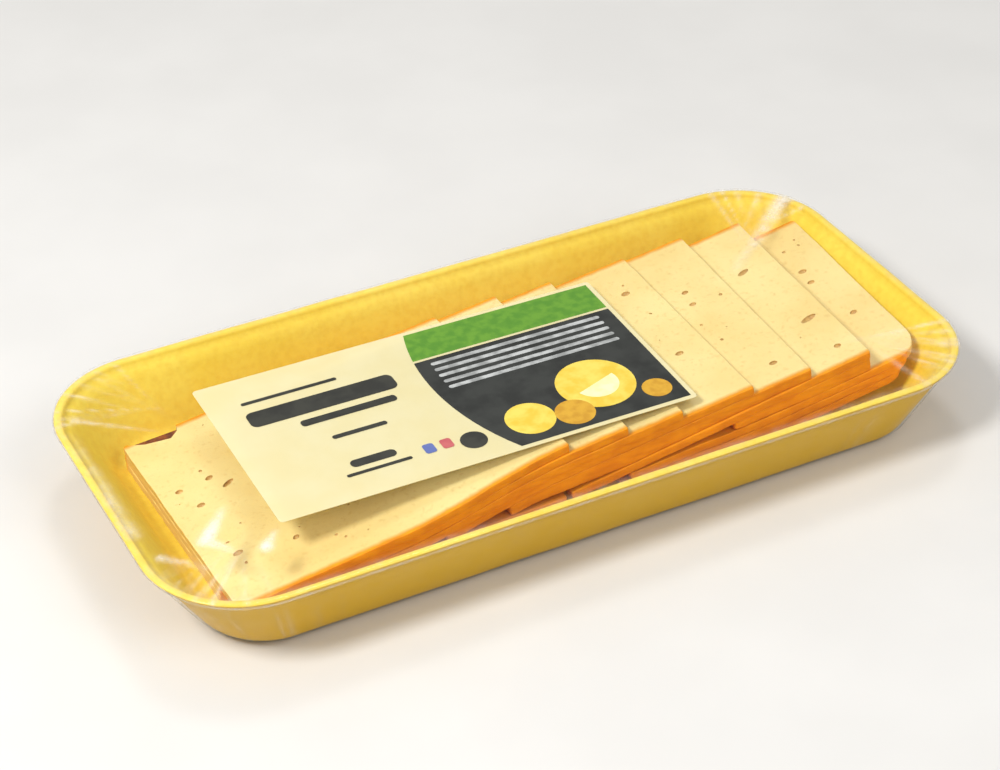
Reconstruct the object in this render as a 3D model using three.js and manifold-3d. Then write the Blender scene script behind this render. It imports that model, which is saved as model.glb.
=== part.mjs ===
// A shallow foam tray of raclette cheese slices, shingled from left to right and
// closed with clear stretch film that carries a flat label.
// Millimetres, +Z up. The origin is on the surface that the pack stands on, under
// the middle of the tray. +X runs along the tray and -Y is its near long side.
import * as THREE from 'three';
import { mergeVertices } from 'three/addons/utils/BufferGeometryUtils.js';
import Module from 'manifold-3d';

const wasm = await Module();
wasm.setup();

// Tray
const RIM = { length: 260, width: 125, corner: 30 };
const BASE = { length: 228, width: 105, corner: 20 };
const RIM_HEIGHT = 25.6;
const FOAM = 2.7;
const FLOOR_TOP = 2.8;
const FLOOR_FILLET = 2.4;
const BASE_FILLET = 3.5;
const WALL_LEAN = 26;
const LIP_OUT = 0.9;
const LIP_DEPTH = 3.6;
const CORNER_STEPS = 7;
// Heights above the tray's underside where its wall has a ring of points
const WALL_STATIONS = [0, 0.35, 0.95, 1.9, 3.5, 8, 14, 20, 22, 23.2, 24.4];
const INNER_WALL_HEIGHTS = [20.5, 13];
const FILLET_ANGLES = [0, 18, 36, 54, 72, 90];
// The rolled top of the wall, from outside to inside: inwards of the rim line, below its top
const RIM_ROLL = [[0.3, 0.2], [0.9, 0], [1.9, 0], [2.5, 0.35], [2.8, 1.2]];

// Clear film and label
const GAP = 0.3;
const FILM = 0.25;
const FILM_TUCK = 24;
// Where the film bends down over the rim: inwards of the rim line, below the film's top
const FILM_BEND = [[1.1, 0], [0.2, 0.08], [-0.2, 0.5]];
const LABEL = { length: 131, width: 68.5, thickness: 0.25, corner: 1.2 };
const LABEL_MIDDLE = { x: -23.6, y: -0.7, turn: -1.1 };

// Cheese slices: what most of them have in common
const SLICE = {
  length: 104, thickness: 2.5, slope: 0.134, bulge: 5.6, nearCorner: 0.8, wedge: 0,
};
const EDGE_ROUND = 0.45;
const CORNER_ROUND = 0.8;
// How many degrees the cut left ends lean
const LEFT_LEAN = 1.2;
// The near side of the pile bulges out to the left of here
const BULGE = { from: -5, reach: 55 };
// The slices under the pile hold it up a little here
const CROWN = { x: -55, reach: 52, rise: 0.3 };
const SLICE_GAP = 0.35;
// Slices 1 to 6, from the top down: where the right edge crosses the middle line, where the
// near and far edges lie, and how many degrees the right edge leans
const FIRST_TOP = 25.35;
const UPPER_SLICES = [
  { right: -5.0, near: -38.5, far: 38.8, lean: 3.5, bulge: 6.8 },
  { right: 15.3, near: -39.1, far: 40.4, lean: 1.6 },
  { right: 34.0, near: -39.3, far: 40.0, lean: 0.9 },
  { right: 59.3, near: -38.8, far: 40.2, lean: -0.75 },
  { right: 80.5, near: -38.8, far: 42.0, lean: -2.2, thickness: 3.1 },
  { right: 101.3, near: -39.3, far: 41.0, lean: -2.3, slope: 0.163 },
];
// Slice 8, under the sixth one, is cut short and gets thicker towards its near right corner
const HALF_SLICE = {
  right: 101.8, near: -39.2, far: 40.5, lean: -2.3, length: 50,
  thickness: 2.3, slope: 0.163, wedge: 1.6,
};
// Slices 7, 9 and 10, from the top down, lean up against the tray's right end
const END_SLICES = [
  { right: 120.6, near: -39.3, far: 37.3, lean: -2.2, nearCorner: 9, slope: 0.17 },
  { right: 118.6, near: -39.3, far: 37.3, lean: -1.6, nearCorner: 9, slope: 0.17 },
  { right: 116.6, near: -39.3, far: 37.3, lean: -1.6, nearCorner: 9, slope: 0.17, length: 65 },
];
// How they rise off the floor, how their far side tips up, and where the upper two climb
// onto the short lowest one
const END_RISE = { start: 50, slope: 0.1, bend: 0.0006 };
const END_TIP = { start: 55, reach: 45, rise: 1.6 };
const END_CLIMB = { start: 12, reach: 38 };
const END_GAP = 0.4;
// Slices 11 and 12, from the top down, lie flat under the left end of the pile
const BASE_SLICES = [
  { right: -4.4, near: -39.8, far: 39.4, lean: 0.9, thickness: 2.25, bottom: 5.85, slope: 0, bulge: 1.5 },
  { right: -4.4, near: -39.6, far: 39.2, lean: 0.7, thickness: 2.4, bottom: 3.15, slope: 0, bulge: 1.5 },
];

// Eyes that show in the cheese: slice number, place x, y in the pack, length, width, turn
const EYE_DEPTH = 0.5;
const EYES = [
  [1, -103.3, 9.8, 2.4, 1.8, 0], [1, -100.2, 0.7, 2.6, 1.8, 0], [1, -93.8, 10.3, 2.6, 1.8, 20],
  [1, -90.1, 4.9, 4.4, 1.7, 25], [1, -99.2, -24.2, 3.2, 2.0, 10], [1, -83.2, -27.9, 2.2, 1.6, 30],
  [4, 51.2, 23.4, 3.0, 2.2, 0], [4, 49.5, -12.0, 2.8, 1.8, 0], [5, 68.3, 16.1, 2.4, 1.7, 10],
  [5, 67.2, 9.6, 2.4, 1.7, 0], [5, 71.5, -29.5, 2.8, 1.8, 0], [6, 90.5, 17.6, 4.6, 1.9, 15],
  [6, 93.9, -14.4, 6.6, 2.2, 12], [6, 93.6, -30.7, 2.4, 1.8, 0], [7, 110.0, 13.1, 3.0, 1.9, 0],
  [7, 109.2, 7.0, 2.6, 1.7, 0], [7, 111.5, -13.3, 2.6, 1.8, 10],
];
// Bite out of the far left corner of the top slice: its outline, along and inwards from
// that corner, and how deep it goes
const BITE_OUTLINE = [[1.5, -2], [1.5, 0.4], [6.1, 3.1], [13.5, 5.0], [16.3, 2.75], [17.5, -2]];
const BITE_DEPTH = 1.8;

const COLOURS = {
  foam: '#f0c83a', cheese: '#f3dfa0', film: '#f7f6f0', label: '#f6efc2',
};

const radians = (degrees) => degrees * Math.PI / 180;
const mix = (a, b, share) => a + (b - a) * share;
const smooth = (x) => {
  const t = Math.min(1, Math.max(0, x));
  return t * t * (3 - 2 * t);
};

// Geometry helpers

function geometryOf(points, triangles) {
  const geometry = new THREE.BufferGeometry();
  geometry.setAttribute('position', new THREE.Float32BufferAttribute(points.flat(), 3));
  geometry.setIndex(triangles.flat());
  return geometry;
}

function solidOf(geometry) {
  const bare = geometry.clone();
  bare.deleteAttribute('normal');
  bare.deleteAttribute('uv');
  const merged = mergeVertices(bare, 1e-4);
  return new wasm.Manifold(new wasm.Mesh({
    numProp: 3,
    vertProperties: new Float32Array(merged.attributes.position.array),
    triVerts: new Uint32Array(merged.index.array),
  }));
}

function geometryOfSolid(solid) {
  const mesh = solid.getMesh();
  const geometry = new THREE.BufferGeometry();
  geometry.setAttribute('position', new THREE.BufferAttribute(new Float32Array(mesh.vertProperties), 3));
  geometry.setIndex(new THREE.BufferAttribute(new Uint32Array(mesh.triVerts), 1));
  return geometry;
}

function pieceOf(name, geometry, material) {
  geometry.computeVertexNormals();
  const piece = new THREE.Mesh(geometry, material);
  piece.name = name;
  return piece;
}

// A rounded rectangle at one height. share goes from the rim, 0, to the base, 1, and
// inset moves the whole outline inwards.
function outlineRing(share, inset, z) {
  const corner = Math.max(0.6, mix(RIM.corner, BASE.corner, share) - inset);
  const halfLength = mix(RIM.length, BASE.length, share) / 2 - inset - corner;
  const halfWidth = mix(RIM.width, BASE.width, share) / 2 - inset - corner;
  const centres = [[1, -1], [1, 1], [-1, 1], [-1, -1]];
  return centres.flatMap(([sideX, sideY], quarter) => {
    const arc = [];
    for (let step = 0; step <= CORNER_STEPS; step += 1) {
      const angle = radians(-90 + 90 * quarter + 90 * step / CORNER_STEPS);
      arc.push([
        sideX * halfLength + corner * Math.cos(angle),
        sideY * halfWidth + corner * Math.sin(angle),
        z,
      ]);
    }
    return arc;
  });
}

// Skins a list of rings with equal counts and closes the first and last with a fan
function loft(rings) {
  const count = rings[0].length;
  const points = rings.flat();
  const triangles = [];
  for (let ring = 0; ring + 1 < rings.length; ring += 1) {
    for (let i = 0; i < count; i += 1) {
      const next = (i + 1) % count;
      const [a, b] = [ring * count + i, ring * count + next];
      const [c, d] = [b + count, a + count];
      triangles.push([a, b, c], [a, c, d]);
    }
  }
  const firstCentre = points.length;
  points.push([0, 0, rings[0][0][2]]);
  const lastCentre = points.length;
  const last = (rings.length - 1) * count;
  points.push([0, 0, rings[rings.length - 1][0][2]]);
  for (let i = 0; i < count; i += 1) {
    const next = (i + 1) % count;
    triangles.push([firstCentre, next, i], [lastCentre, last + i, last + next]);
  }
  return geometryOf(points, triangles);
}

// Tray

const TRAY_BOTTOM = FILM + GAP;
const shareAt = (z) => 1 - z / RIM_HEIGHT;

// How far the outside stands in from the straight wall line, at one height
function outsideInset(z) {
  const below = Math.max(0, 1 - (z - TRAY_BOTTOM) / BASE_FILLET);
  const base = BASE_FILLET * (1 - Math.sqrt(1 - below * below));
  const lip = LIP_OUT * (1 - smooth((z - (RIM_HEIGHT - LIP_DEPTH)) / (LIP_DEPTH - 1.2)));
  return base + lip;
}

const WALL_HEIGHTS = WALL_STATIONS.map((height) => height + TRAY_BOTTOM);

// The outside of the wall at one height, or a skin that stands off it by a distance
function wallRing(z, distance) {
  const below = Math.max(0, 1 - (z - TRAY_BOTTOM) / BASE_FILLET);
  const facing = radians(mix(WALL_LEAN, 90, below));
  const inset = outsideInset(z) - distance * Math.cos(facing);
  return outlineRing(shareAt(z), inset, z - distance * Math.sin(facing));
}

function trayGeometry() {
  const outside = WALL_HEIGHTS.map((z) => wallRing(z, 0));
  const rim = RIM_ROLL.map(([inset, drop]) => outlineRing(0, inset, RIM_HEIGHT - drop));
  const wallInset = FOAM + LIP_OUT;
  const inner = INNER_WALL_HEIGHTS.map((z) => outlineRing(shareAt(z), wallInset, z));
  const fillet = FILLET_ANGLES.map((angle) => {
    const z = FLOOR_TOP + FLOOR_FILLET * (1 - Math.sin(radians(angle)));
    const inset = wallInset + FLOOR_FILLET * (1 - Math.cos(radians(angle)));
    return outlineRing(shareAt(z), inset, z);
  });
  return loft([...outside, ...rim, ...inner, ...fillet]);
}

// Film

// One face of the film from the middle of its top, over the rim and down the wall
function filmSkin(distance) {
  const bend = FILM_BEND.map(([inset, drop]) => (
    outlineRing(0, inset + GAP - distance, RIM_HEIGHT + distance - drop)
  ));
  const wall = WALL_HEIGHTS.map((z) => wallRing(z, distance)).reverse();
  return [...bend, ...wall];
}

// Stretched over the rim, down the wall and under the base, open in the middle underneath
function filmGeometry() {
  const tuck = (z) => outlineRing(shareAt(TRAY_BOTTOM), FILM_TUCK, z);
  return loft([
    ...filmSkin(GAP),
    tuck(FILM),
    tuck(0),
    ...filmSkin(GAP + FILM).reverse(),
  ]);
}

// Label

function labelGeometry() {
  const { length, width, thickness, corner } = LABEL;
  const [x, y] = [length / 2 - corner, width / 2 - corner];
  const outline = new THREE.Shape();
  outline.absarc(x, -y, corner, -Math.PI / 2, 0, false);
  outline.absarc(x, y, corner, 0, Math.PI / 2, false);
  outline.absarc(-x, y, corner, Math.PI / 2, Math.PI, false);
  outline.absarc(-x, -y, corner, Math.PI, Math.PI * 1.5, false);
  return new THREE.ExtrudeGeometry(outline, { depth: thickness, bevelEnabled: false, curveSegments: 3 });
}

// Cheese slices

// Distances along a slice where its grid has a row, closer together at the corners
function stationsAlong(length, leftRound, rightRound) {
  const arc = [0, 30, 60].map((angle) => 1 - Math.cos(radians(angle)));
  const left = arc.map((share) => share * leftRound);
  const right = arc.map((share) => length - share * rightRound).reverse();
  const middleCount = 10;
  const middle = [];
  for (let i = 0; i <= middleCount; i += 1) {
    middle.push(mix(leftRound, length - rightRound, i / middleCount));
  }
  return [...left, ...middle, ...right];
}

// How far a rounded corner cuts an edge back, at a distance from the end
function cornerCut(distance, round) {
  if (distance >= round) return 0;
  return round - Math.sqrt(round * round - (round - distance) ** 2);
}

function crownAt(x) {
  const share = (x - CROWN.x) / CROWN.reach;
  return Math.abs(share) < 1 ? CROWN.rise * Math.cos(share * Math.PI / 2) ** 2 : 0;
}

// Where the near edge lies, at a distance from the slice's left end
function nearEdge({ right, length, near, bulge }, along) {
  return near - bulge * smooth((BULGE.from - (right - length + along)) / BULGE.reach);
}

// A slice gets thicker along its length and towards its near edge by as much as its wedge
function thicknessAt({ length, near, far, thickness, wedge }, along, y) {
  return thickness + wedge * Math.min(1, 1.6 * along / length) * (far - y) / (far - near);
}

const SHARES_ACROSS = [-1, -0.66, -0.33, 0, 0.33, 0.66, 1];

// A point of a slice. station is a distance along it, share goes from its near edge, -1, to
// its far edge, 1, and level is 0 on the face, 0.5 halfway down the edge and 1 underneath.
function slicePoint(slice, station, share, level) {
  const { right, length, far, lean, slope, nearCorner } = slice;
  const inset = level === 0.5 ? 0 : EDGE_ROUND;
  const along = mix(inset, length - inset, station / length);
  const rightRound = share < 0 ? nearCorner : CORNER_ROUND;
  const cut = inset + cornerCut(station, CORNER_ROUND) + cornerCut(length - station, rightRound);
  const y = share < 0 ? -share * (nearEdge(slice, along) + cut) : share * (far - cut);
  const leanHere = radians(mix(LEFT_LEAN, lean, along / length));
  const x = right - (length - along) - y * Math.tan(leanHere);
  const depth = level * thicknessAt(slice, along, y);
  return [x + depth * slope, y, slice.topAt(x + depth * slope, y) - depth];
}

// A thin tilted plate with round corners and slightly round edges
function sliceGeometry(slice) {
  const stations = stationsAlong(slice.length, CORNER_ROUND, Math.max(CORNER_ROUND, slice.nearCorner));
  const [rows, columns] = [stations.length, SHARES_ACROSS.length];
  const points = [];
  [0, 1].forEach((level) => {
    stations.forEach((station) => {
      SHARES_ACROSS.forEach((share) => points.push(slicePoint(slice, station, share, level)));
    });
  });
  const at = (level, row, column) => (level * rows + row) * columns + column;
  const triangles = [];
  for (let row = 0; row + 1 < rows; row += 1) {
    for (let column = 0; column + 1 < columns; column += 1) {
      const face = [at(0, row, column), at(0, row + 1, column),
        at(0, row + 1, column + 1), at(0, row, column + 1)];
      const under = face.map((index) => index + rows * columns);
      triangles.push([face[0], face[1], face[2]], [face[0], face[2], face[3]]);
      triangles.push([under[0], under[2], under[1]], [under[0], under[3], under[2]]);
    }
  }
  // The edge, anticlockwise seen from above: near side, right, far side, left
  const edge = [];
  for (let row = 0; row < rows - 1; row += 1) edge.push([row, 0]);
  for (let column = 0; column < columns - 1; column += 1) edge.push([rows - 1, column]);
  for (let row = rows - 1; row > 0; row -= 1) edge.push([row, columns - 1]);
  for (let column = columns - 1; column > 0; column -= 1) edge.push([0, column]);
  const firstMiddle = points.length;
  edge.forEach(([row, column]) => {
    points.push(slicePoint(slice, stations[row], SHARES_ACROSS[column], 0.5));
  });
  edge.forEach(([row, column], i) => {
    const next = (i + 1) % edge.length;
    const [a, b] = [at(1, row, column), at(1, ...edge[next])];
    const [c, d] = [firstMiddle + next, firstMiddle + i];
    const [e, f] = [at(0, ...edge[next]), at(0, row, column)];
    triangles.push([a, b, c], [a, c, d], [d, c, e], [d, e, f]);
  });
  return geometryOf(points, triangles);
}

// The six upper slices lie on each other, each one peeping out to the right of the one above
function upperSlices() {
  let top = FIRST_TOP;
  return UPPER_SLICES.map((values, index) => {
    const slice = { ...SLICE, ...values };
    if (index > 0) {
      const above = { ...SLICE, ...UPPER_SLICES[index - 1] };
      top += (slice.right - above.right) * slice.slope - above.thickness - SLICE_GAP;
    }
    const edgeTop = top;
    slice.topAt = (x) => edgeTop - slice.slope * (slice.right - x) + crownAt(x);
    return slice;
  });
}

function halfSlice(above) {
  const topAt = (x) => above.topAt(x) - above.thickness - SLICE_GAP;
  return { ...SLICE, ...HALF_SLICE, topAt };
}

// How high the slices at the right end are lifted over the floor
function endRise(x, y) {
  const { near, far } = END_SLICES[0];
  const past = Math.max(0, x - END_RISE.start);
  const tip = END_TIP.rise * smooth((x - END_TIP.start) / END_TIP.reach);
  return END_RISE.slope * past + END_RISE.bend * past * past + tip * (y - near) / (far - near);
}

function endSlices() {
  const step = SLICE.thickness + END_GAP;
  const climb = (x) => step * smooth((x - END_CLIMB.start) / END_CLIMB.reach);
  const lifts = [(x) => step + climb(x), climb, () => 0];
  return END_SLICES.map((values, index) => {
    const topAt = (x, y) => FLOOR_TOP + GAP + SLICE.thickness + lifts[index](x) + endRise(x, y);
    return { ...SLICE, ...values, topAt };
  });
}

function baseSlices() {
  return BASE_SLICES.map((values) => (
    { ...SLICE, ...values, topAt: () => values.bottom + values.thickness }
  ));
}

// A shallow oval hollow in the face of a slice
function eyeSolid(slice, [, x, y, length, width, turn]) {
  const ball = new THREE.SphereGeometry(1, 8, 6);
  ball.scale(length / 2, width / 2, EYE_DEPTH);
  ball.rotateZ(radians(turn));
  ball.translate(x, y, slice.topAt(x, y));
  return solidOf(ball);
}

// A broken-off bit at the far left corner, with a ledge left below it
function biteSolid(slice) {
  const [x, y] = [slice.right - slice.length - slice.far * Math.tan(radians(LEFT_LEAN)), slice.far];
  const outline = new THREE.Shape(
    BITE_OUTLINE.map(([along, inwards]) => new THREE.Vector2(along, -inwards)),
  );
  const prism = new THREE.ExtrudeGeometry(outline, { depth: 2 * SLICE.thickness, bevelEnabled: false });
  prism.translate(x, y, slice.topAt(x, y) - BITE_DEPTH);
  return solidOf(prism);
}

function sliceSolid(slice, number) {
  let solid = solidOf(sliceGeometry(slice));
  EYES.filter(([owner]) => owner === number).forEach((eye) => {
    solid = solid.subtract(eyeSolid(slice, eye));
  });
  return number === 1 ? solid.subtract(biteSolid(slice)) : solid;
}

// Materials

const foam = new THREE.MeshStandardMaterial({ color: COLOURS.foam, roughness: 0.55, metalness: 0 });
const cheese = new THREE.MeshStandardMaterial({ color: COLOURS.cheese, roughness: 0.45, metalness: 0 });
const film = new THREE.MeshStandardMaterial({
  color: COLOURS.film, roughness: 0.08, metalness: 0, transparent: true, opacity: 0.15,
});
const paper = new THREE.MeshStandardMaterial({ color: COLOURS.label, roughness: 0.4, metalness: 0 });

// Assembly

const pack = new THREE.Group();
pack.add(pieceOf('tray', trayGeometry(), foam));

const upper = upperSlices();
const [end, ...underEnd] = endSlices();
const slices = [...upper, end, halfSlice(upper.at(-1)), ...underEnd, ...baseSlices()];
slices.forEach((slice, index) => {
  const number = index + 1;
  pack.add(pieceOf(`slice_${number}`, geometryOfSolid(sliceSolid(slice, number)), cheese.clone()));
});

pack.add(pieceOf('film', filmGeometry(), film));

const label = pieceOf('label', labelGeometry(), paper);
label.rotation.z = radians(LABEL_MIDDLE.turn);
label.position.set(LABEL_MIDDLE.x, LABEL_MIDDLE.y, RIM_HEIGHT + GAP + FILM + GAP);
pack.add(label);

export default pack;
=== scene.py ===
import math
import random

import bmesh
import bpy
import numpy as np
from mathutils import Matrix, Vector, noise


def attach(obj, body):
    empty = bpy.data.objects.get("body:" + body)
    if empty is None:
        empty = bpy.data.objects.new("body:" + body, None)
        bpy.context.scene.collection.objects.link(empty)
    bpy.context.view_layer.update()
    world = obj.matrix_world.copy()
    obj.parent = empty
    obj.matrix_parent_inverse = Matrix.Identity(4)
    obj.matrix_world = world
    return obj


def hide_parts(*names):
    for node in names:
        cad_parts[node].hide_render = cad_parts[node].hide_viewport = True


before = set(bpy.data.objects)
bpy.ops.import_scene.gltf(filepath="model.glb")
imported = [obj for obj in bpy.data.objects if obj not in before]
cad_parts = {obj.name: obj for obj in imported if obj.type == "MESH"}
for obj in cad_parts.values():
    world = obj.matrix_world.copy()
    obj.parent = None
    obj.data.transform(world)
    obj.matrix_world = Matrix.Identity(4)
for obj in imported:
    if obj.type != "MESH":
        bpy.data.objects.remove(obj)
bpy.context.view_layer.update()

# A film-wrapped foam tray of raclette cheese slices. Sizes are in millimetres, in the
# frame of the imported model, and go into the meshes times MM.
MM = 0.001

# Tray
RIM = {"length": 260, "width": 125, "corner": 30}
BASE = {"length": 228, "width": 105, "corner": 20}
RIM_HEIGHT = 25.6
TRAY_BOTTOM = 0.55
FOAM = 2.7
FLOOR_TOP = 2.8
FLOOR_FILLET = 2.4
BASE_FILLET = 3.5
WALL_LEAN = 26
LIP_OUT = 0.9
# Under the rim's top, the outside comes out between these two depths
LIP_DEPTH = 3.6
LIP_END = 1.2
# The rolled rim, from its outside to its inside: how far in, and how far down from the top
RIM_STEPS = [
    (0.25, 0.35), (0.45, 0.12), (0.9, 0), (1.4, -0.02), (1.9, 0), (2.3, 0.16), (2.6, 0.5),
    (2.8, 1.0), (2.95, 1.7),
]
# Inside, the wall gets thinner towards the rim from this height on, by this much
INNER_HEIGHTS = (23.0, 22.0, 21.0, 20.0, 18.0, 16.0, 14.0, 12.0, 10.0, 8.0, 6.6)
INNER_TAPER = {"top": 23.5, "reach": 3, "wall": FOAM + 0.3}
# Outside, heights over the tray's bottom
STRAIGHT_HEIGHTS = list(np.arange(5.5, 21.5, 2.0))
LIP_HEIGHTS = [21.6, 22.2, 22.8, 23.4, 24.0, 24.4]
MIDDLE_SHARES = (0.1, 0.25, 0.5, 0.75, 1.0)
TRAY_RIPPLE = {"amount": 0.16, "size": 22, "lowest": TRAY_BOTTOM - 0.1}

# Steps of every outline round the pack
ARC_STEPS = 30
LONG_STEPS = 80
SHORT_STEPS = 32

# Film: distance from the tray and thickness, inside the solid that it stands for
FILM_GAP = 0.36
FILM_THICKNESS = 0.06
FILM_BEND = [[1.5, 0], [1.0, 0.0], [0.5, 0.02], [0.1, 0.12], [-0.15, 0.35], [-0.2, 0.7]]
SHEET_SHARES = np.concatenate([np.linspace(0.02, 0.5, 26), np.linspace(0.54, 1.0, 12)])
UNDER_SHARES = (0.08, 0.2, 0.4, 0.6, 0.8, 0.96)
# How milky the film is, with painted light: a painted highlight along the rim's outline, milky pleats,
# and a painted lighter band towards the top of its wall
RIM_PAINTED_HIGHLIGHT = {"milk_and_glare": 0.2, "reach": 2.0}
PLEAT_HAZE = 0.9
WALL_PAINTED_HIGHLIGHT = {"milk_and_glare": 0.4, "start": 21.5, "reach": 3.5}
# How much the film mirrors: seen face on, and what a grazing view adds
FILM_GLOSS = {"face_on": 0.014, "grazing": 0.2, "power": 5.0}

# Label
LABEL = {"length": 131, "width": 68.5, "corner": 1.2, "x": -23.6, "y": -0.7, "turn": -1.1}
LABEL_BOTTOM = 26.34
LABEL_THICKNESS = 0.12
LABEL_MARGIN = 1.5
# Printed layers: above the label, thickness, and the step from one colour to the next
INK = {"above": 0.01, "thickness": 0.015, "step": 0.012}
# The large arc where the printed field begins
FIELD_ARC = {"u": 80.0, "v": 8.0, "radius": 82.0}
FIELD_STEPS = 12
STRIPES = {"heights": (2.5, 5.7, 8.9, 12.1, 15.3), "share": 0.86, "height": 1.5, "corner": 0.7}
DISC_STEPS = 40
BAR_ARC_STEPS = 6

# Slices, the same values as the solids have: first what most of them have in common.
# "settle" is in this script only: how much thicker a slice gets for each millimetre to the left.
SLICE = {
    "length": 104, "thickness": 2.5, "slope": 0.134, "bulge": 5.6, "near_corner": 0.8, "wedge": 0,
    "settle": 0,
}
CORNER_ROUND = 0.8
LEFT_LEAN = 1.2
BULGE = {"start": -5, "reach": 55}
CROWN = {"x": -55, "reach": 52, "rise": 0.3}
SLICE_GAP = 0.35
# Slices 1 to 6, from the top down
FIRST_TOP = 25.35
UPPER_SLICES = [
    {"right": -5.0, "near": -38.5, "far": 38.8, "lean": 3.5, "bulge": 6.8},
    {"right": 15.3, "near": -39.1, "far": 40.4, "lean": 1.6},
    {"right": 34.0, "near": -39.3, "far": 40.0, "lean": 0.9},
    {"right": 59.3, "near": -38.8, "far": 40.2, "lean": -0.75},
    {"right": 80.5, "near": -38.8, "far": 42.0, "lean": -2.2, "thickness": 3.1, "settle": 0.027},
    {"right": 101.3, "near": -39.3, "far": 41.0, "lean": -2.3, "slope": 0.163},
]
# Slice 8, under the sixth one, is short and gets thicker towards its near right corner
HALF_SLICE = {
    "right": 101.8, "near": -39.2, "far": 40.5, "lean": -2.3, "length": 50,
    "thickness": 2.3, "slope": 0.163, "wedge": 1.6,
}
# Slices 7, 9 and 10, from the top down, lean up against the tray's right end
END_SLICE = {**SLICE, "near": -39.3, "far": 37.3, "near_corner": 9, "slope": 0.17}
END_SLICES = [
    {"right": 120.6, "lean": -2.2}, {"right": 118.6, "lean": -1.6},
    {"right": 116.6, "lean": -1.6, "length": 65},
]
END_RISE = {"start": 50, "slope": 0.1, "bend": 0.0006}
END_TIP = {"start": 55, "reach": 45, "rise": 1.6}
END_CLIMB = {"start": 12, "reach": 38}
END_GAP = 0.4
FLOOR_GAP = 0.3
# Slices 11 and 12, from the top down, lie flat under the left end of the pile
BASE_SLICE = {**SLICE, "right": -4.4, "slope": 0, "bulge": 1.5}
BASE_SLICES = [
    {"near": -39.8, "far": 39.4, "lean": 0.9, "thickness": 2.25, "bottom": 5.85},
    {"near": -39.6, "far": 39.2, "lean": 0.7, "thickness": 2.4, "bottom": 3.15},
]
WEDGE_GROWTH = 1.6
SETTLE_REACH = 45
EDGE_ROUND = 0.22
EDGE_ANGLES = (30, 60, 90)
RIND_BULGE = 0.06
BULGE_LEVELS = (0.25, 0.5, 0.75)
# How much thicker a slice is here than its solid, so that slices nearly touch
SETTLED = 0.27
# How far in from the near edge the rind's colour has run where a slice is covered
RIND_SPREAD = 9.0
# It ends this far short of the covering slice's right end
COVER_SHORT = 4
ALL_BARE, ALL_COVERED = -200, 200

# A slice's mesh: steps along and across it, and small unevenness of its face and its outline
STATIONS_PER_MM = 0.8
CORNER_ANGLES = range(0, 90, 15)
HALF_WIDTH = 39
EDGE_STEPS = [0, 0.3, 0.7, 1.2, 1.9]
STEPS_ACROSS = 60
FACE_WAVE = {"amount": 0.07, "size": 17.0, "seed": 5.7}
EDGE_WAVES = [
    {"amount": 0.22, "size": 9.0, "seed": 7.3}, {"amount": 0.10, "size": 2.6, "seed": 3.1},
]

# Larger eyes: slice number, place x, y in the pack, length, width, turn
EYES = [
    (1, -103.3, 9.8, 2.4, 1.8, 0), (1, -100.2, 0.7, 2.6, 1.8, 0), (1, -93.8, 10.3, 2.6, 1.8, 20),
    (1, -90.1, 4.9, 4.4, 1.7, 25), (1, -99.2, -24.2, 3.2, 2.0, 10), (1, -83.2, -27.9, 2.2, 1.6, 30),
    (4, 51.2, 23.4, 3.0, 2.2, 0), (4, 49.5, -12.0, 2.8, 1.8, 0), (5, 68.3, 16.1, 2.4, 1.7, 10),
    (5, 67.2, 9.6, 2.4, 1.7, 0), (5, 71.5, -29.5, 2.8, 1.8, 0), (6, 90.5, 17.6, 4.6, 1.9, 15),
    (6, 93.9, -14.4, 6.6, 2.2, 12), (6, 93.6, -30.7, 2.4, 1.8, 0), (7, 110.0, 13.1, 3.0, 1.9, 0),
    (7, 109.2, 7.0, 2.6, 1.7, 0), (7, 111.5, -13.3, 2.6, 1.8, 10),
]
EYE_DEPTH = 1.0
EYE_RINGS, EYE_SIDES = 8, 14
# Pinholes in each of the slices up to this number, which are the ones whose faces show
PINHOLES = 26
LAST_WITH_PINHOLES = 7
PINHOLE = {"length": (0.5, 1.3), "width": (0.6, 1), "margin": 3, "across": 0.92}
BITE_OUTLINE = [[1.5, -2], [1.5, 0.4], [6.1, 3.1], [13.5, 5.0], [16.3, 2.75], [17.5, -2]]
BITE_DEPTH = 0.8

# Folds in the film's top: from x, y to x, y, half width, height, how milky, where the milkiness also
# paints glare on the fold
FOLDS = [
    (127.0, 49.0, 86.0, 16.0, 3.0, 0.55, 0.75),
    (118.0, 52.0, 96.0, 30.0, 1.4, 0.30, 0.35),
    (126.5, -50.5, 112.0, -41.5, 1.6, 0.45, 0.55),
    (-110.5, -31.0, -101.0, -20.0, 2.2, 0.35, 1.00),
    (-109.0, -33.0, -104.5, -39.5, 1.8, 0.30, 0.80),
    (-97.0, -41.0, -92.0, -35.5, 1.9, 0.30, 0.95),
    (-124.0, -32.0, -112.0, -44.0, 1.4, 0.30, 0.55),
    (-127.5, -20.0, -126.0, 32.0, 2.6, 0.20, 0.45),
    (-123.5, 38.0, -104.0, 22.0, 1.2, 0.25, 0.50),
]
# Small folds that fan in from each corner, with the ranges that their values are drawn from
FAN = {
    "seed": 11, "count": 9, "angles": (6, 84), "jitter": (0.1, 0.9), "start": 0.5,
    "length": (14, 36), "bend": (-0.22, 0.22), "width": (0.6, 1.5), "height": (0.12, 0.3),
    "milk_and_glare": (0.15, 0.5),
}
# Upright pleats in the film's wall, at and beside each corner
PLEATS = {
    "seed": 23, "count": 16, "place": (-0.35, 1.35), "width": (0.6, 1.6), "height": (0.08, 0.3),
    "most": 0.45,
}
# How quickly the pleats grow from the top and from the bottom of the wall
PLEAT_ENDS = {"top": 2.2, "bottom": 6}
# Folds get lower and narrower along their way
FOLD_TAPER = 0.75
FOLD_NARROWEST = 0.6

# Camera, at the photograph's viewing angle
CAMERA = {
    "azimuth": -27.292, "elevation": 35.426, "roll": -0.373, "distance": 773.4,
    "target": (9.97, 28.82, 0.0), "lens": 89.44, "sensor": 36.0, "clip": (0.01, 20),
}

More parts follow.
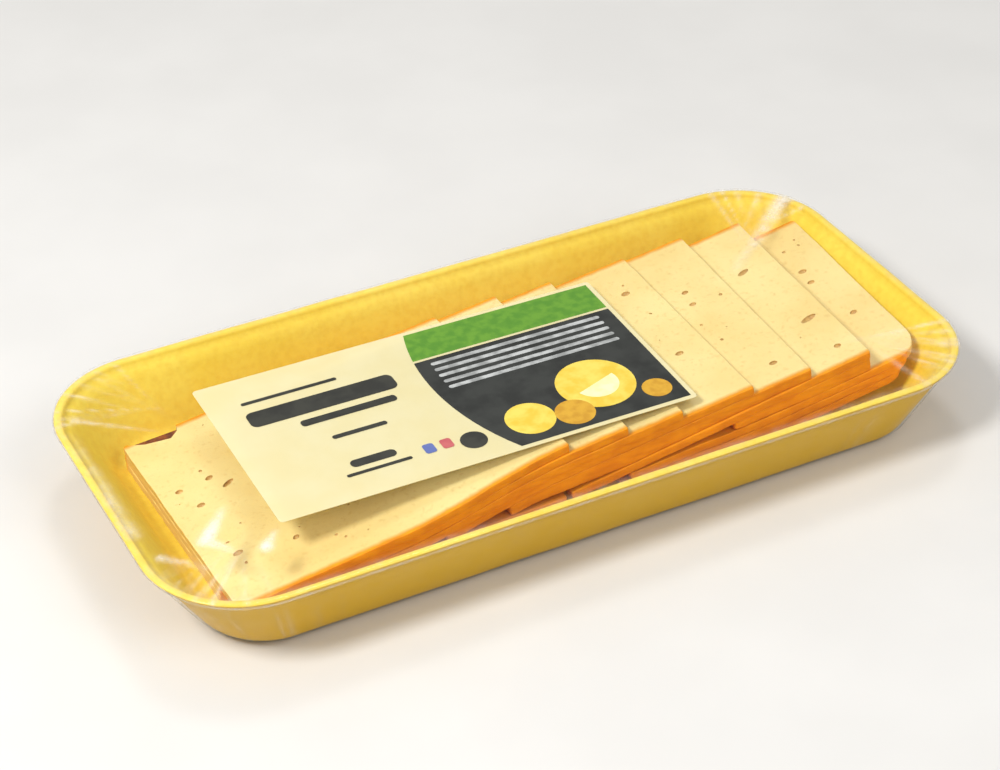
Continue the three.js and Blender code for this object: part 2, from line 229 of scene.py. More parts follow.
# Studio, in metres: name, place, size and power of each light, which faces the origin
LIGHTS = [
    ("key", (-0.68, -0.12, 0.85), 0.28, 8),
    ("fill", (0.3, -0.9, 0.9), 0.8, 4.5),
    ("back", (0.35, 0.65, 1.35), 0.35, 3),
]
WORLD_STRENGTH = 0.42
FLOOR_HALF = 3.0
FLOOR_DROP = 0.00005

# Edges sharper than this, in degrees, stay sharp
CUT_EDGE = 42
PRINT_EDGE = 40

# Colours, as red, green and blue from 0 to 255
COLOURS = {
    "foam_deep": (246, 214, 62), "foam_pale": (250, 224, 84), "foam_shade": (226, 176, 18),
    "foam_cell": (252, 228, 110), "foam_painted_shade_outside": (206, 158, 6),
    "paste_deep": (241, 212, 136), "paste_pale": (247, 225, 154), "paste_fleck": (224, 186, 108),
    "paste_painted_shade_cut_end": (212, 174, 98), "paste_under_rind": (232, 164, 52),
    "rind_pale": (250, 166, 4), "rind_deep": (238, 150, 2), "rind_streak": (212, 118, 1),
    "rind_painted_shade_low": (160, 92, 4),
    "eye_painted_shade_deep": (196, 152, 82), "eye_painted_shade_pale": (222, 184, 112),
    "torn_deep": (96, 36, 6), "torn_pale": (150, 76, 16),
    "milk_and_glare": (252, 248, 236),
    "label_deep": (248, 236, 182), "label_pale": (250, 240, 192),
    "floor_deep": (226, 224, 220), "floor_pale": (230, 228, 224),
}


# Small helpers

def mix(a, b, share):
    return a + (b - a) * share


def smooth(x):
    t = np.clip(x, 0, 1)
    return t * t * (3 - 2 * t)


def linear(red, green, blue):
    """A colour given from 0 to 255, as shaders want it."""
    def channel(value):
        share = value / 255
        return share / 12.92 if share <= 0.04045 else ((share + 0.055) / 1.055) ** 2.4
    return (channel(red), channel(green), channel(blue), 1.0)


def mesh_object(name, points, faces, materials, face_material=None):
    """A smooth-shaded mesh from points in millimetres."""
    mesh = bpy.data.meshes.new(name)
    mesh.from_pydata((np.asarray(points, float) * MM).tolist(), [], faces)
    for material in materials:
        mesh.materials.append(material)
    if face_material is not None:
        mesh.polygons.foreach_set("material_index", face_material)
    mesh.polygons.foreach_set("use_smooth", [True] * len(mesh.polygons))
    mesh.validate()
    piece = bpy.data.objects.new(name, mesh)
    bpy.context.scene.collection.objects.link(piece)
    return piece


def merge_close_points(piece, distance=0.002):
    work = bmesh.new()
    work.from_mesh(piece.data)
    bmesh.ops.remove_doubles(work, verts=work.verts, dist=distance * MM)
    bmesh.ops.recalc_face_normals(work, faces=work.faces)
    work.to_mesh(piece.data)
    work.free()


def points_of(piece):
    """The mesh's points in millimetres."""
    flat = np.zeros(len(piece.data.vertices) * 3)
    piece.data.vertices.foreach_get("co", flat)
    return flat.reshape(-1, 3) / MM


def set_attribute(piece, name, values):
    attribute = piece.data.attributes.new(name, "FLOAT", "POINT")
    attribute.data.foreach_set("value", np.asarray(values, np.float32))


def noise_at(points, size, seed=0.0):
    """Smooth noise from -1 to 1 at each point."""
    return np.array([noise.noise(Vector(p) / size + Vector((seed, 0, 0))) for p in points])


def finish_piece(piece, slot_name, *nodes):
    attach(piece, "root")
    if nodes:
        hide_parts(*nodes)


# Outlines round the pack

def outline_ring(share, inset, z):
    """A rounded rectangle. share goes from the rim, 0, to the base, 1."""
    corner = max(0.6, mix(RIM["corner"], BASE["corner"], share) - inset)
    half_length = mix(RIM["length"], BASE["length"], share) / 2 - inset - corner
    half_width = mix(RIM["width"], BASE["width"], share) / 2 - inset - corner
    points = []
    centres = [(1, -1), (1, 1), (-1, 1), (-1, -1)]
    side_steps = [SHORT_STEPS, LONG_STEPS, SHORT_STEPS, LONG_STEPS]
    for quarter, (side_x, side_y) in enumerate(centres):
        for step in range(ARC_STEPS + 1):
            angle = math.radians(-90 + 90 * quarter + 90 * step / ARC_STEPS)
            points.append((
                side_x * half_length + corner * math.cos(angle),
                side_y * half_width + corner * math.sin(angle),
            ))
        start = points[-1]
        next_x, next_y = centres[(quarter + 1) % 4]
        end = (side_x * (half_length + corner), next_y * half_width)
        if quarter in (1, 3):
            end = (next_x * half_length, side_y * (half_width + corner))
        count = side_steps[quarter]
        for step in range(1, count):
            points.append((mix(start[0], end[0], step / count), mix(start[1], end[1], step / count)))
    return np.column_stack([np.array(points), np.full(len(points), float(z))])


def share_at(z):
    return 1 - z / RIM_HEIGHT


def below_fillet(z):
    return max(0.0, 1 - (z - TRAY_BOTTOM) / BASE_FILLET)


def outside_inset(z):
    """How far the tray's outside stands in from the straight wall line."""
    base = BASE_FILLET * (1 - math.sqrt(1 - below_fillet(z) ** 2))
    lip = LIP_OUT * (1 - float(smooth((z - (RIM_HEIGHT - LIP_DEPTH)) / (LIP_DEPTH - LIP_END))))
    return base + lip


def wall_ring(z, distance):
    """The tray's outside at one height, or a skin that stands off it by a distance."""
    facing = math.radians(mix(WALL_LEAN, 90, below_fillet(z)))
    inset = outside_inset(z) - distance * math.cos(facing)
    return outline_ring(share_at(z), inset, z - distance * math.sin(facing))


def wall_heights():
    fillet = [BASE_FILLET * (1 - math.cos(math.radians(a))) for a in (0, 15, 30, 45, 60, 75, 90)]
    return [TRAY_BOTTOM + height for height in fillet + STRAIGHT_HEIGHTS + LIP_HEIGHTS]


def to_middle_line(ring, shares):
    """Rings that shrink an outline onto its long middle line."""
    reach = (RIM["length"] - RIM["width"]) / 2
    line = np.column_stack([np.clip(ring[:, 0], -reach, reach), np.zeros(len(ring)), ring[:, 2]])
    return [ring + (line - ring) * share for share in shares]


def skin_faces(ring_count, count):
    """Faces between rings that each have the same count of points."""
    faces = []
    for ring in range(ring_count - 1):
        for i in range(count):
            following = (i + 1) % count
            a, b = ring * count + i, ring * count + following
            faces.append((a, b, b + count, a + count))
    return faces


def band(upper, lower):
    """Faces between two closed loops of point numbers."""
    following = [*range(1, len(upper)), 0]
    return [(upper[i], lower[i], lower[j], upper[j]) for i, j in enumerate(following)]


# Shader helpers

class Shader:
    """A node material with one Principled shader, and short calls for its other nodes."""

    def __init__(self, name, **values):
        self.material = bpy.data.materials.new(name)
        self.material.use_nodes = True
        self.tree = self.material.node_tree
        self.nodes = self.tree.nodes
        self.principled = self.nodes["Principled BSDF"]
        self.output = self.nodes["Material Output"]
        self.place = self.node("ShaderNodeTexCoord").outputs["Object"]
        for key, value in values.items():
            self.principled.inputs[key.replace("_", " ")].default_value = value

    def node(self, kind, **settings):
        made = self.nodes.new(kind)
        for key, value in settings.items():
            setattr(made, key, value)
        return made

    def join(self, source, target):
        self.tree.links.new(source, target)

    def put(self, value, target):
        """Gives an input a name in COLOURS, a plain value or a node's output."""
        if isinstance(value, str):
            value = linear(*COLOURS[value])
        if isinstance(value, (int, float, tuple)):
            target.default_value = value
        else:
            self.join(value, target)

    def set(self, key, source):
        self.join(source, self.principled.inputs[key])

    def stretched(self, x, y, z):
        mapping = self.node("ShaderNodeMapping")
        mapping.inputs["Scale"].default_value = (x, y, z)
        self.join(self.place, mapping.inputs["Vector"])
        return mapping.outputs["Vector"]

    def texture(self, kind, size, vector=None):
        made = self.node(kind)
        made.inputs["Scale"].default_value = 1 / (size * MM)
        self.join(vector or self.place, made.inputs["Vector"])
        return made

    def noise(self, size, detail=3.0, roughness=0.5, vector=None):
        """Noise from 0 to 1 with features of a size in millimetres."""
        made = self.texture("ShaderNodeTexNoise", size, vector)
        made.inputs["Detail"].default_value = detail
        made.inputs["Roughness"].default_value = roughness
        return made.outputs["Fac"]

    def patches(self, size, detail, low, high, roughness=0.5, vector=None):
        """Noise, ranged to a share from 0 to 1 of soft patches."""
        return self.ranged(self.noise(size, detail, roughness, vector), low, high)

    def cells(self, size):
        return self.texture("ShaderNodeTexVoronoi", size).outputs["Distance"]

    def height(self):
        """Height over the surface that the pack stands on, in metres."""
        made = self.node("ShaderNodeSeparateXYZ")
        self.join(self.place, made.inputs[0])
        return made.outputs["Z"]

    def upright(self):
        """0 on level faces and 1 on upright ones."""
        geometry = self.node("ShaderNodeNewGeometry")
        made = self.node("ShaderNodeSeparateXYZ")
        self.join(geometry.outputs["Normal"], made.inputs[0])
        return self.math("SUBTRACT", 1.0, self.math("ABSOLUTE", made.outputs["Z"]))

    def attribute(self, name):
        return self.node("ShaderNodeAttribute", attribute_name=name).outputs["Fac"]

    def ranged(self, source, low, high, start=0.0, end=1.0):
        made = self.node("ShaderNodeMapRange", interpolation_type="SMOOTHSTEP")
        for key, value in (("From Min", low), ("From Max", high), ("To Min", start), ("To Max", end)):
            made.inputs[key].default_value = value
        self.join(source, made.inputs["Value"])
        return made.outputs["Result"]

    def math(self, operation, *values):
        made = self.node("ShaderNodeMath", operation=operation)
        for value, target in zip(values, made.inputs):
            self.put(value, target)
        return made.outputs[0]

    def mixed(self, share, first, second):
        """A mix of two colours."""
        made = self.node("ShaderNodeMix", data_type="RGBA")
        share_input, first_input, second_input, result = 0, 6, 7, 2
        for key, value in ((share_input, share), (first_input, first), (second_input, second)):
            self.put(value, made.inputs[key])
        return made.outputs[result]

    def blend(self, share, first, second):
        """A mix of two surface shaders."""
        made = self.node("ShaderNodeMixShader")
        for value, target in zip((share, first.outputs[0], second.outputs[0]), made.inputs):
            self.put(value, target)
        return made

    def bump(self, height, depth, strength=1.0, normal=None):
        """Relief of a depth in millimetres."""
        made = self.node("ShaderNodeBump")
        made.inputs["Strength"].default_value = strength
        made.inputs["Distance"].default_value = depth * MM
        self.join(height, made.inputs["Height"])
        if normal is not None:
            self.join(normal, made.inputs["Normal"])
        return made.outputs["Normal"]


# Materials

def foam_material():
    shader = Shader("foam", Specular_IOR_Level=0.25)
    broad = shader.patches(34, 2, 0.3, 0.7)
    fine = shader.patches(2.2, 3, 0.35, 0.7)
    tone = shader.mixed(broad, "foam_deep", "foam_pale")
    cell = shader.ranged(shader.cells(0.75), 0.0, 0.55)
    tone = shader.mixed(shader.math("MULTIPLY", fine, 0.25), tone, "foam_shade")
    tone = shader.mixed(shader.math("MULTIPLY", cell, 0.12), tone, "foam_cell")
    # Painted shade: the tray's outside and underside are darker, as a wall that faces downwards is in
    # shade
    outer = shader.math("MULTIPLY", shader.attribute("outside"), 0.85)
    shader.set("Base Color", shader.mixed(outer, tone, "foam_painted_shade_outside"))
    relief = shader.bump(shader.cells(0.75), 0.05, 0.35)
    shader.set("Normal", shader.bump(shader.noise(6, 3), 0.12, 0.4, relief))
    shader.set("Roughness", shader.ranged(shader.noise(9, 2), 0.3, 0.7, 0.44, 0.6))
    return shader.material


def cheese_material():
    shader = Shader("cheese", Subsurface_Weight=0.1, Subsurface_Scale=0.0012, Specular_IOR_Level=0.3)
    shader.principled.inputs["Subsurface Radius"].default_value = (1.0, 0.75, 0.4)
    broad = shader.patches(26, 3, 0.3, 0.7)
    fleck = shader.patches(1.6, 4, 0.52, 0.72, 0.65)
    paste = shader.mixed(broad, "paste_deep", "paste_pale")
    paste = shader.mixed(shader.math("MULTIPLY", fleck, 0.45), paste, "paste_fleck")
    # Painted shade: upright faces, such as the slices' cut ends, are darker
    cut_end = shader.ranged(shader.upright(), 0.45, 0.9, 0.0, 0.75)
    paste = shader.mixed(cut_end, paste, "paste_painted_shade_cut_end")
    wander = shader.math("MULTIPLY", shader.math("SUBTRACT", shader.noise(3.5, 3), 0.5), 0.9)
    depth = shader.math("ADD", shader.attribute("edge_mm"), wander)
    patch = shader.patches(7, 4, 0.35, 0.7, 0.6)
    streak = shader.patches(2.2, 3, 0.4, 0.7, 0.6, shader.stretched(0.25, 1, 1.6))
    rind = shader.mixed(patch, "rind_pale", "rind_deep")
    rind = shader.mixed(shader.math("MULTIPLY", streak, 0.4), rind, "rind_streak")
    # Painted shade: the rind gets darker towards the bottom of the pile
    low = shader.ranged(shader.height(), 16 * MM, 4 * MM, 0.0, 0.55)
    rind = shader.mixed(low, rind, "rind_painted_shade_low")
    under = shader.mixed(shader.ranged(depth, 0.7, 2.4), "paste_under_rind", paste)
    tone = shader.mixed(shader.ranged(depth, 0.55, 1.05), rind, under)
    shader.set("Base Color", tone)
    shader.set("Roughness", shader.ranged(depth, 0.6, 1.0, 0.55, 0.38))
    drag = shader.bump(shader.noise(3.0, 3, 0.5, shader.stretched(0.3, 2.2, 1)), 0.06, 0.35)
    crumb = shader.bump(shader.noise(1.2, 4, 0.6), 0.10, 0.4, drag)
    shader.set("Normal", crumb)
    return shader.material


def eye_material():
    # Painted shade: the hollows of the eyes and pinholes are darker than the paste
    shader = Shader("cheese_eye_painted_shade", Roughness=0.3, Subsurface_Weight=0.08, Subsurface_Scale=0.001)
    shade = shader.patches(1.4, 3, 0.3, 0.7)
    shader.set("Base Color", shader.mixed(shade, "eye_painted_shade_deep", "eye_painted_shade_pale"))
    shader.set("Normal", shader.bump(shader.noise(0.8, 3), 0.08, 0.5))
    return shader.material


def torn_material():
    shader = Shader("cheese_torn", Roughness=0.5)
    shade = shader.patches(2.2, 4, 0.35, 0.65, 0.6)
    shader.set("Base Color", shader.mixed(shade, "torn_deep", "torn_pale"))
    shader.set("Normal", shader.bump(shader.noise(0.9, 4), 0.25, 0.7))
    return shader.material


def film_material():
    """Clear film that mirrors like thin plastic, and is milky where it is creased, with painted glare
    on its folds and painted highlight along its rim.
    """
    shader = Shader("film")
    shader.nodes.remove(shader.principled)
    clear = shader.node("ShaderNodeBsdfTransparent")
    gloss = shader.node("ShaderNodeBsdfGlossy")
    gloss.inputs["Roughness"].default_value = 0.13
    milk_and_glare = shader.node("ShaderNodeBsdfDiffuse")
    shader.put("milk_and_glare", milk_and_glare.inputs["Color"])
    facing = shader.node("ShaderNodeLayerWeight")
    facing.inputs["Blend"].default_value = 0.5
    relief = shader.bump(shader.noise(9, 4, 0.6), 0.25, 0.5)
    shader.join(relief, gloss.inputs["Normal"])
    grazing = shader.math("POWER", facing.outputs["Facing"], FILM_GLOSS["power"])
    share = shader.math("MULTIPLY_ADD", grazing, FILM_GLOSS["grazing"], FILM_GLOSS["face_on"])
    mirror = shader.blend(share, clear, gloss)
    # Whitening from the film's attribute: milkiness of its creases, and painted glare and highlight
    wisp = shader.ranged(shader.noise(5, 4, 0.7), 0.3, 0.75, 0.6, 1.3)
    whitening = shader.math("MULTIPLY", shader.attribute("milk_and_glare"), wisp)
    haze_and_highlight = shader.blend(shader.ranged(whitening, 0.0, 1.1, 0.0, 0.75), mirror, milk_and_glare)
    shader.join(haze_and_highlight.outputs[0], shader.output.inputs["Surface"])
    return shader.material


def label_material():
    shader = Shader("label", Roughness=0.32, Alpha=0.72)
    grain = shader.patches(12, 3, 0.3, 0.7)
    shader.set("Base Color", shader.mixed(grain, "label_deep", "label_pale"))
    shader.set("Normal", shader.bump(shader.noise(1.5, 3), 0.02, 0.4))
    return shader.material


def print_material(name, first, second, size):
    """Printed ink, with two close tones in soft patches."""
    shader = Shader(name, Roughness=0.34)
    patch = shader.patches(size, 3, 0.35, 0.65)
    shader.set("Base Color", shader.mixed(patch, linear(*first), linear(*second)))
    shader.set("Normal", shader.bump(shader.noise(1.5, 3), 0.02, 0.4))
    return shader.material


def floor_material():
    shader = Shader("floor", Roughness=0.7)
    patch = shader.patches(60, 3, 0.3, 0.7)
    shader.set("Base Color", shader.mixed(patch, "floor_deep", "floor_pale"))
    return shader.material


# Tray

def inner_wall():
    """The tray's inside, from under its rim down to its floor."""
    wall_inset = FOAM + LIP_OUT
    rings = []
    for z in INNER_HEIGHTS:
        lowered = smooth((INNER_TAPER["top"] - z) / INNER_TAPER["reach"])
        rings.append(outline_ring(share_at(z), mix(INNER_TAPER["wall"], wall_inset, lowered), z))
    for angle in range(0, 91, 10):
        z = FLOOR_TOP + FLOOR_FILLET * (1 - math.sin(math.radians(angle)))
        inset = wall_inset + FLOOR_FILLET * (1 - math.cos(math.radians(angle)))
        rings.append(outline_ring(share_at(z), inset, z))
    return rings


def tray_piece():
    outside = [wall_ring(z, 0) for z in wall_heights()]
    rim = [outline_ring(0, inset, RIM_HEIGHT - drop) for inset, drop in RIM_STEPS]
    inside = inner_wall()
    underside = to_middle_line(outside[0], MIDDLE_SHARES)[::-1]
    floor = to_middle_line(inside[-1], MIDDLE_SHARES)
    rings = underside + outside + rim + inside + floor
    points = np.concatenate(rings)
    faces = skin_faces(len(rings), len(rings[0]))
    piece = mesh_object("foam_tray", points, faces, [foam_material()])
    # The outside and underside rings, which get the foam's painted shade
    outer = np.zeros(len(rings))
    outer[:len(underside) + len(outside)] = 1
    set_attribute(piece, "outside", np.repeat(outer, len(rings[0])))
    merge_close_points(piece)
    ripple(piece)
    finish_piece(piece, "foam", "tray")


def ripple(piece):
    """Moves the tray's points a little along their normals, by smooth noise."""
    points = points_of(piece)
    normals = np.array([vertex.normal[:] for vertex in piece.data.vertices])
    moved = points + normals * (noise_at(points, TRAY_RIPPLE["size"]) * TRAY_RIPPLE["amount"])[:, None]
    moved[:, 2] = np.maximum(moved[:, 2], TRAY_RIPPLE["lowest"])
    piece.data.vertices.foreach_set("co", (moved * MM).ravel())
    piece.data.update()


# Cheese slices

def crown_at(x):
    share = (x - CROWN["x"]) / CROWN["reach"]
    return np.where(np.abs(share) < 1, CROWN["rise"] * np.cos(share * math.pi / 2) ** 2, 0.0)


def end_rise(x, y):
    """How high the slices at the right end are lifted over the floor."""
    near, far = END_SLICE["near"], END_SLICE["far"]
    past = np.maximum(0, x - END_RISE["start"])
    tip = END_TIP["rise"] * smooth((x - END_TIP["start"]) / END_TIP["reach"])
    return END_RISE["slope"] * past + END_RISE["bend"] * past ** 2 + tip * (y - near) / (far - near)


def all_slices():
    """Slices 1 to 12 in order."""
    upper, top = [], FIRST_TOP
    for values in UPPER_SLICES:
        plan = {**SLICE, **values}
        if upper:
            above = upper[-1].plan
            top += (plan["right"] - above["right"]) * plan["slope"] - above["thickness"] - SLICE_GAP
        upper.append(Slice(plan, upper_top(plan, top)))
    last = upper[-1]
    drop = last.plan["thickness"] + SLICE_GAP
    half = Slice({**SLICE, **HALF_SLICE}, lambda x, y: last.top_at(x, y) - drop)
    end, *under_end = [
        Slice({**END_SLICE, **values}, end_top(2 - i)) for i, values in enumerate(END_SLICES)
    ]
    base = [Slice({**BASE_SLICE, **values}, flat_top(values)) for values in BASE_SLICES]
    return [*upper, end, half, *under_end, *base]


def upper_top(plan, top):
    """The sloping face of one of the slices 1 to 6, as a height at x, y."""
    return lambda x, y: top - plan["slope"] * (plan["right"] - x) + crown_at(x)


def end_top(below):
    """The face of a slice at the right end that has some others below it."""
    step = SLICE["thickness"] + END_GAP
    ground = FLOOR_TOP + FLOOR_GAP + SLICE["thickness"] + step * max(0, below - 1)
    climb = step if below > 0 else 0
    return lambda x, y: (
        ground + climb * smooth((x - END_CLIMB["start"]) / END_CLIMB["reach"]) + end_rise(x, y)
    )


def flat_top(values):
    """The level face of a slice that lies on the floor, as a height at x, y."""
    return lambda x, y: np.full(np.shape(x), values["bottom"] + values["thickness"])


def corner_cut(distance, radius):
    """How far a round corner stands in from the edge, at a distance from the end."""
    inside = np.clip(radius - distance, 0, radius)
    return radius - np.sqrt(radius ** 2 - inside ** 2)


class Slice:
    """One slice: its outline in the pack's axes, and the height of its face."""

    def __init__(self, plan, top_at):
        self.plan = plan
        self.top_at = top_at

    def along(self, x, y):
        """The distance of a point from the slice's left end."""
        plan = self.plan
        rough = (x - plan["right"] + plan["length"]) / plan["length"]
        lean = np.radians(mix(LEFT_LEAN, plan["lean"], rough))
        return x - plan["right"] + plan["length"] + y * np.tan(lean)

    def near_edge(self, along):
        """The y of the near long edge, which bulges out to the left."""
        plan = self.plan
        x = plan["right"] - plan["length"] + along
        return plan["near"] - plan["bulge"] * smooth((BULGE["start"] - x) / BULGE["reach"])

    def edge_distance(self, x, y):
        """How far inside its long edges a point lies."""
        return np.minimum(y - self.near_edge(self.along(x, y)), self.plan["far"] - y)

    def point(self, station, share, inset, level):
        """station runs from end to end, share from the near edge, -1, to the far edge, 1,
        and level from the face, 0, to the underside, 1. inset moves the outline inwards."""
        plan = self.plan
        length = plan["length"]
        along = mix(inset, length - inset, station / length)
        right_round = np.where(share < 0, plan["near_corner"], CORNER_ROUND)
        cut = inset + corner_cut(station, CORNER_ROUND) + corner_cut(length - station, right_round)
        near = self.near_edge(along) + cut
        y = np.where(share < 0, -share * near, share * (plan["far"] - cut))
        lean = np.radians(mix(LEFT_LEAN, plan["lean"], along / length))
        x = plan["right"] - (length - along) - y * np.tan(lean)
        wedge = plan["wedge"] * np.minimum(1, WEDGE_GROWTH * along / length)
        thickness = plan["thickness"] + wedge * (plan["far"] - y) / (plan["far"] - plan["near"])
        sag = plan["settle"] * (length - along) * smooth(along / SETTLE_REACH)
        thickness = thickness + SETTLED + sag
        x = x + level * thickness * plan["slope"]
        return np.column_stack([x, y, self.top_at(x, y) - level * thickness])


def stations_along(length, left_round, right_round):
    """Distances from a slice's left end, closer together at its round corners."""
    arc = np.array([1 - math.cos(math.radians(angle)) for angle in CORNER_ANGLES])
    middle = np.linspace(left_round, length - right_round, int(length * STATIONS_PER_MM))
    return np.concatenate([arc * left_round, middle, (length - arc * right_round)[::-1]])


def shares_across():
    """Shares of a slice's half width, closer together at its long edges."""
    edge = 1 - np.array(EDGE_STEPS) / HALF_WIDTH
    inner = np.linspace(-edge[-1], edge[-1], STEPS_ACROSS)[1:-1]
    return np.concatenate([-edge, inner, edge[::-1]])


def edge_levels(thickness):
    """Steps down a slice's edge: inwards from its outline, and the share of its thickness."""
    turns = [math.radians(angle) for angle in EDGE_ANGLES]
    upper = [(EDGE_ROUND * (1 - math.sin(t)), EDGE_ROUND * (1 - math.cos(t)) / thickness)
             for t in turns]
    first = upper[-1][1]
    middle = [(-RIND_BULGE * math.sin(math.pi * s), mix(first, 1 - first, s))
              for s in BULGE_LEVELS]
    lower = [(inset, 1 - level) for inset, level in upper[::-1]]
    return upper + middle + lower


def border_of(rows, columns):
    """Row and column of every point round the border of a grid, once round."""
    return (
        [(row, 0) for row in range(rows - 1)]
        + [(rows - 1, column) for column in range(columns - 1)]
        + [(row, columns - 1) for row in range(rows - 1, 0, -1)]
        + [(0, column) for column in range(columns - 1, 0, -1)]
    )


def slice_points(shape, number):
    """A slice's points and faces: its face and underside as grids, joined by its edge."""
    plan = shape.plan
    stations = stations_along(plan["length"], CORNER_ROUND, max(CORNER_ROUND, plan["near_corner"]))
    shares = shares_across()
    rows, columns = len(stations), len(shares)
    station_grid, share_grid = (grid.ravel() for grid in np.meshgrid(stations, shares, indexing="ij"))
    face = shape.point(station_grid, share_grid, EDGE_ROUND, 0.0)
    under = shape.point(station_grid, share_grid, EDGE_ROUND, 1.0)
    border = border_of(rows, columns)
    border_station = np.array([stations[row] for row, _ in border])
    border_share = np.array([shares[column] for _, column in border])
    wave = edge_wave(shape.point(border_station, border_share, 0.0, 0.0), number)
    loops = [
        shape.point(border_station, border_share, inset + wave, level)
        for inset, level in edge_levels(plan["thickness"])
    ]
    return np.concatenate([face, under] + loops), slice_faces(rows, columns, border, len(loops))


def slice_faces(rows, columns, border, loop_count):
    """The faces of both grids, and then those of the edge, from the face down."""
    count, under_start, loop_start = len(border), rows * columns, 2 * rows * columns
    faces = []
    for row in range(rows - 1):
        for column in range(columns - 1):
            a = row * columns + column
            b = a + columns
            faces.append((a, b, b + 1, a + 1))
            faces.append((under_start + a, under_start + a + 1, under_start + b + 1, under_start + b))
    border_index = [row * columns + column for row, column in border]
    levels = [border_index]
    levels += [range(loop_start + loop * count, loop_start + (loop + 1) * count)
               for loop in range(loop_count)]
    levels += [[under_start + i for i in border_index]]
    for upper, lower in zip(levels, levels[1:]):
        faces += band(upper, lower)
    return faces


def edge_wave(points, number):
    """How much the cut outline wanders, in and out, along a slice's edge."""
    return sum(wave_at(points, wave, number) for wave in EDGE_WAVES)


def wave_at(points, wave, number):
    """Unevenness that is the same all the way down through a slice."""
    flat = points * np.array([1, 1, 0])
    return wave["amount"] * noise_at(flat, wave["size"], number * wave["seed"])


def ellipsoid(shape, x, y, length, width, turn, depth):
    """Points and faces of a closed oval on a slice's face, which cuts a hollow into it."""
    rings, sides = EYE_RINGS, EYE_SIDES
    centre = np.array([x, y, float(shape.top_at(x, y))])
    angle = math.radians(turn)
    points = []
    for ring in range(1, rings):
        polar = math.pi * ring / rings
        for side in range(sides):
            round_angle = 2 * math.pi * side / sides
            u = length / 2 * math.sin(polar) * math.cos(round_angle)
            v = width / 2 * math.sin(polar) * math.sin(round_angle)
            points.append((
                u * math.cos(angle) - v * math.sin(angle),
                u * math.sin(angle) + v * math.cos(angle),
                depth * math.cos(polar),
            ))
    points += [(0, 0, depth), (0, 0, -depth)]
    faces = []
    for start in range(0, (rings - 2) * sides, sides):
        faces += band(range(start, start + sides), range(start + sides, start + 2 * sides))
    top, bottom, last = len(points) - 2, len(points) - 1, (rings - 2) * sides
    for side in range(sides):
        following = (side + 1) % sides
        faces.append((top, side, following))
        faces.append((bottom, last + following, last + side))
    return np.array(points) + centre, faces


def bite_cutter(shape):
    """A prism that takes a bit out of the slice's far left corner, down to a ledge."""
    plan = shape.plan
    corner_y = plan["far"]
    corner_x = plan["right"] - plan["length"] - corner_y * math.tan(math.radians(LEFT_LEAN))
    bottom = float(shape.top_at(corner_x, corner_y)) - BITE_DEPTH
    points = []
    for height in (bottom, bottom + 2 * plan["thickness"]):
        for step, inwards in BITE_OUTLINE:
            points.append((corner_x + step, corner_y - inwards, height + step * plan["slope"] * 0.5))
    count = len(BITE_OUTLINE)
    faces = [tuple(range(count)), tuple(range(2 * count - 1, count - 1, -1))]
    return np.array(points), faces + band(range(count), range(count, 2 * count))


def cut_hollows(piece, shape, number):
    """Takes the eyes, small pinholes and the bite out of one slice."""
    draw = random.Random(100 + number)
    hollows = [
        ellipsoid(shape, x, y, length, width, turn, EYE_DEPTH)
        for owner, x, y, length, width, turn in EYES if owner == number
    ]
    margin, across = PINHOLE["margin"], PINHOLE["across"]
    for _ in range(PINHOLES if number <= LAST_WITH_PINHOLES else 0):
        station = draw.uniform(margin, shape.plan["length"] - margin)
        share = draw.uniform(-across, across)
        x, y, _ = shape.point(np.array([station]), np.array([share]), 0.0, 0.0)[0]
        size = draw.uniform(*PINHOLE["length"])
        width = size * draw.uniform(*PINHOLE["width"])
        hollows.append(ellipsoid(shape, x, y, size, width, draw.uniform(0, 180), size / 2))
    materials = [1] * len(hollows)
    if number == 1:
        hollows.append(bite_cutter(shape))
        materials.append(2)
    for (points, faces), material in list(zip(hollows, materials))[::-1]:
        subtract(piece, points, faces, material)


def subtract(piece, points, faces, material_index):
    """Cuts a closed shape out of a piece. The cut faces get one of the piece's materials."""
    materials = list(piece.data.materials)
    cutter = mesh_object("cutter", points, faces, materials, [material_index] * len(faces))
    merge_close_points(cutter)
    modifier = piece.modifiers.new("cut", "BOOLEAN")
    modifier.operation = "DIFFERENCE"
    modifier.solver = "MANIFOLD"
    modifier.object = cutter
    apply_modifiers(piece)
    bpy.data.objects.remove(cutter)


def apply_modifiers(piece):
    """Puts the result of a piece's modifiers in the place of its mesh."""
    bpy.context.view_layer.update()
    made = bpy.data.meshes.new_from_object(piece.evaluated_get(bpy.context.evaluated_depsgraph_get()))
    piece.modifiers.clear()
    old = piece.data
    piece.data = made
    bpy.data.meshes.remove(old)


def cover_edge(number):
    """The x up to which a slice lies under others, for the colour of its near part."""
    if number == 1:
        return ALL_BARE
    if number > 7:
        return ALL_COVERED
    above = UPPER_SLICES[number - 2]
    return above["right"] - COVER_SHORT


def cheese_slices():
    materials = [cheese_material(), eye_material(), torn_material()]
    for index, shape in enumerate(all_slices()):
        number = index + 1
        points, faces = slice_points(shape, number)
        points[:, 2] += wave_at(points, FACE_WAVE, number)
        piece = mesh_object(f"cheese_slice_{number}", points, faces, materials)
        cut_hollows(piece, shape, number)
        piece.data.set_sharp_from_angle(angle=math.radians(CUT_EDGE))
        points = points_of(piece)
        distance = shape.edge_distance(points[:, 0], points[:, 1])
        covered = (points[:, 0] < cover_edge(number)) & (points[:, 1] < 0)
        distance = distance - np.where(covered, RIND_SPREAD, 0)
        set_attribute(piece, "edge_mm", np.maximum(distance, 0))
        finish_piece(piece, "cheese", f"slice_{number}")


# Film

